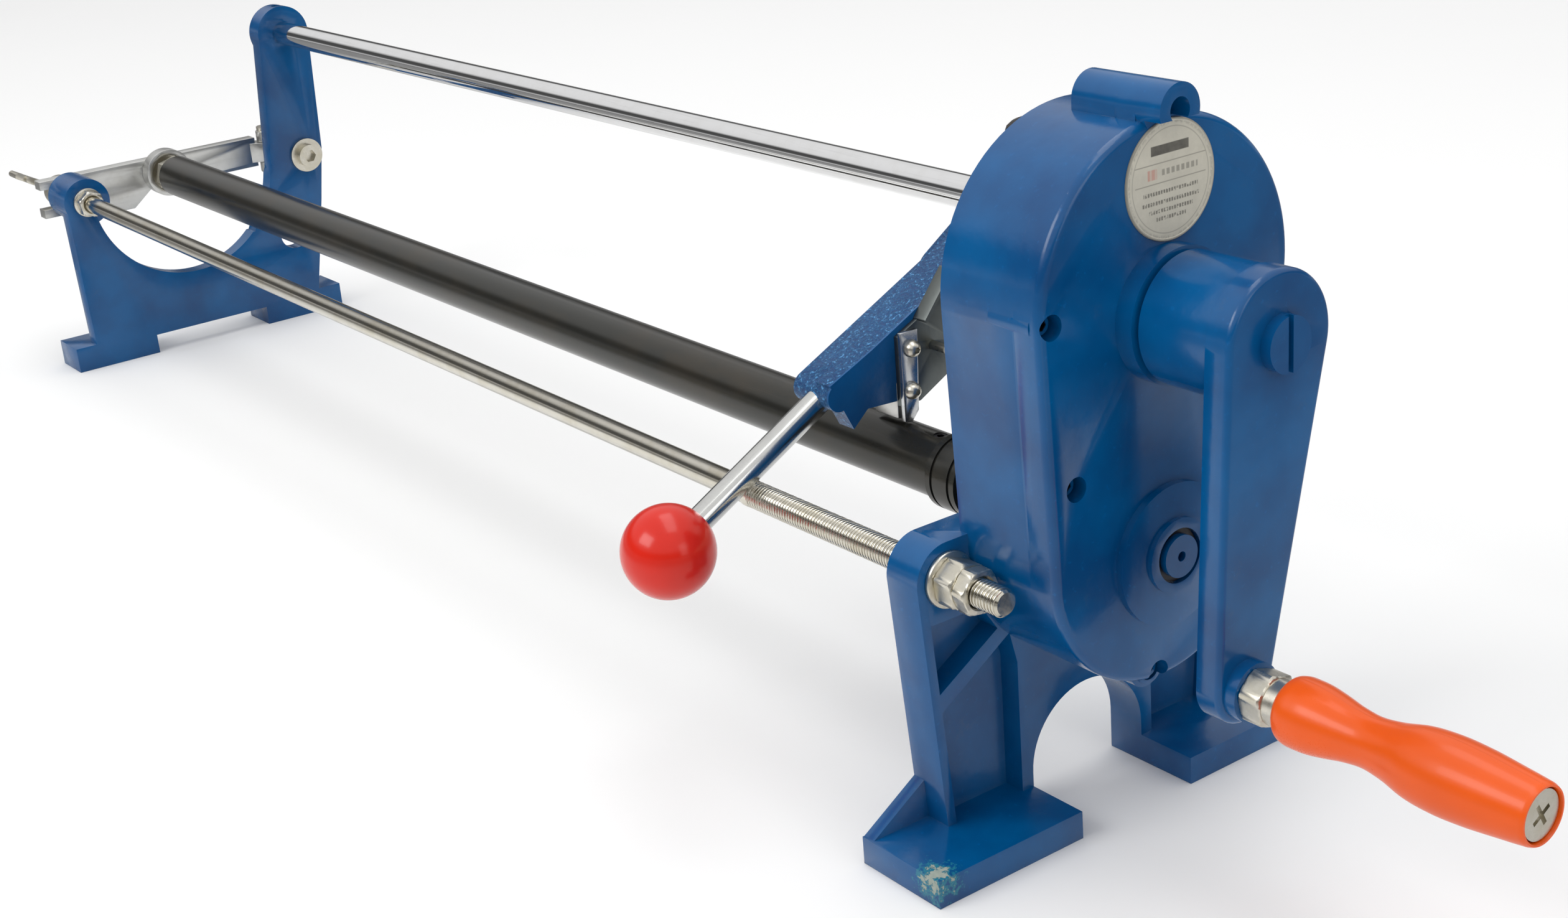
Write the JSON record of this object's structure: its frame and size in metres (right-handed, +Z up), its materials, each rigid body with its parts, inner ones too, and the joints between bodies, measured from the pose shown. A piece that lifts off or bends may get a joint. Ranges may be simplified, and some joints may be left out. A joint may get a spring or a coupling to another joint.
{
  "type": "tile cutter",
  "caption": "Bench cutter with a hand-cranked geared head, a long turning mandrel, and a lever knife that slides along a rear guide rod; the far end has a swing gate.",
  "frame": {"origin": "on the ground, under the middle of the machine's bounding box", "axes": "+X along the mandrel toward the crank, +Y toward the guide rod at the rear, +Z up"},
  "size_m": [1.202, 0.2519, 0.3],
  "materials": {
    "blue_enamel": "glossy enamel over rough casting",
    "black_finish": "black satin",
    "chrome": "polished",
    "bare_steel": "bare, lightly brushed",
    "zinc": "zinc plated",
    "orange_plastic": "gloss",
    "red_plastic": "gloss",
    "black_plastic": "satin",
    "cast_iron": "machined, greased",
    "bearing_steel": "ground",
    "bronze": "machined",
    "rubber": "matte",
    "fibre": "matte gasket board",
    "label": null,
    "tool_steel": "ground edge"
  },
  "bodies": {
    "frame": {"gear_casing": "blue_enamel", "casing_gasket": "fibre", "gear_cover": "blue_enamel", "cover_screws": "black_finish", "data_plate": "label", "crank_bushes": "bronze", "output_bearing_outer_races": "bearing_steel", "output_bearing_balls": "bearing_steel", "output_seal": "rubber", "far_frame": "blue_enamel", "front_tie_rod": "zinc", "tie_rod_washers": "zinc", "tie_rod_nuts": "zinc", "rear_guide_rod": "chrome", "guide_rod_set_screws": "black_finish", "hinge_block": "bare_steel", "hinge_pin": "zinc", "hinge_bolt": "black_finish", "hinge_bolt_washer": "zinc"},
    "crank": {"crank_shaft": "zinc", "crank_keys": "zinc", "drive_gear": "cast_iron", "crank_circlip": "black_finish", "crank_arm": "blue_enamel", "handle_spindle": "zinc", "handle_nut": "zinc", "handle_end_screw": "zinc"},
    "grip": {"handle_grip": "orange_plastic"},
    "mandrel": {"output_spindle": "zinc", "spindle_circlip": "black_finish", "drive_pinion": "cast_iron", "pinion_key": "zinc", "mandrel": "black_finish", "mandrel_collar": "black_finish", "mandrel_set_screws": "black_finish", "tail_nut": "zinc", "output_bearing_inner_races": "bearing_steel"},
    "gate": {"gate_bar": "bare_steel", "tail_bearing_cup": "bare_steel", "tail_centre": "zinc", "tail_centre_nut": "zinc"},
    "wing_nut": {"wing_nut": "zinc"},
    "carriage": {"carriage_sleeve": "bearing_steel", "carriage_collar": "blue_enamel", "sleeve_circlips": "black_finish"},
    "lock_knob": {"lock_knob": "black_plastic"},
    "lever": {"cutter_lever": "blue_enamel", "lever_rod": "bare_steel", "lever_ball": "red_plastic", "knife_bracket": "zinc", "knife_blade": "tool_steel", "knife_seat": "bare_steel", "knife_screws": "zinc", "knife_pin": "zinc"}
  },
  "joints": [
    {"name": "crank_turn", "type": "hinge", "parent": "frame", "child": "crank", "pos_m": [0.402, 0.0133, 0.215], "axis": [1, 0, 0], "continuous": true},
    {"name": "grip_spin", "type": "hinge", "parent": "crank", "child": "grip", "pos_m": [0.549, -0.0047, 0.0885], "axis": [1, 0, 0], "continuous": true},
    {"name": "mandrel_turn", "type": "hinge", "parent": "frame", "child": "mandrel", "pos_m": [-0.098, 0.0133, 0.12], "axis": [1, 0, 0], "continuous": true},
    {"name": "gate_swing", "type": "hinge", "parent": "frame", "child": "gate", "pos_m": [-0.563, 0.0933, 0.119], "axis": [0, 0, -1], "range_deg": [0, 90]},
    {"name": "wing_nut_turn", "type": "hinge", "parent": "gate", "child": "wing_nut", "pos_m": [-0.583, -0.0564, 0.117], "axis": [1, 0, 0], "continuous": true},
    {"name": "carriage_slide", "type": "slide", "parent": "frame", "child": "carriage", "axis": [1, 0, 0], "range_m": [-0.765, 0.025]},
    {"name": "lock_knob_turn", "type": "hinge", "parent": "carriage", "child": "lock_knob", "pos_m": [0.268, 0.1053, 0.24], "axis": [0, 0, 1], "range_deg": [0, 180]},
    {"name": "lever_lift", "type": "hinge", "parent": "carriage", "child": "lever", "pos_m": [0.252, 0.1053, 0.206], "axis": [-1, 0, 0], "range_deg": [0, 50]}
  ],
  "couplings": [
    {"joint": "mandrel_turn", "follows": "crank_turn", "ratio": -1.2619}
  ]
}
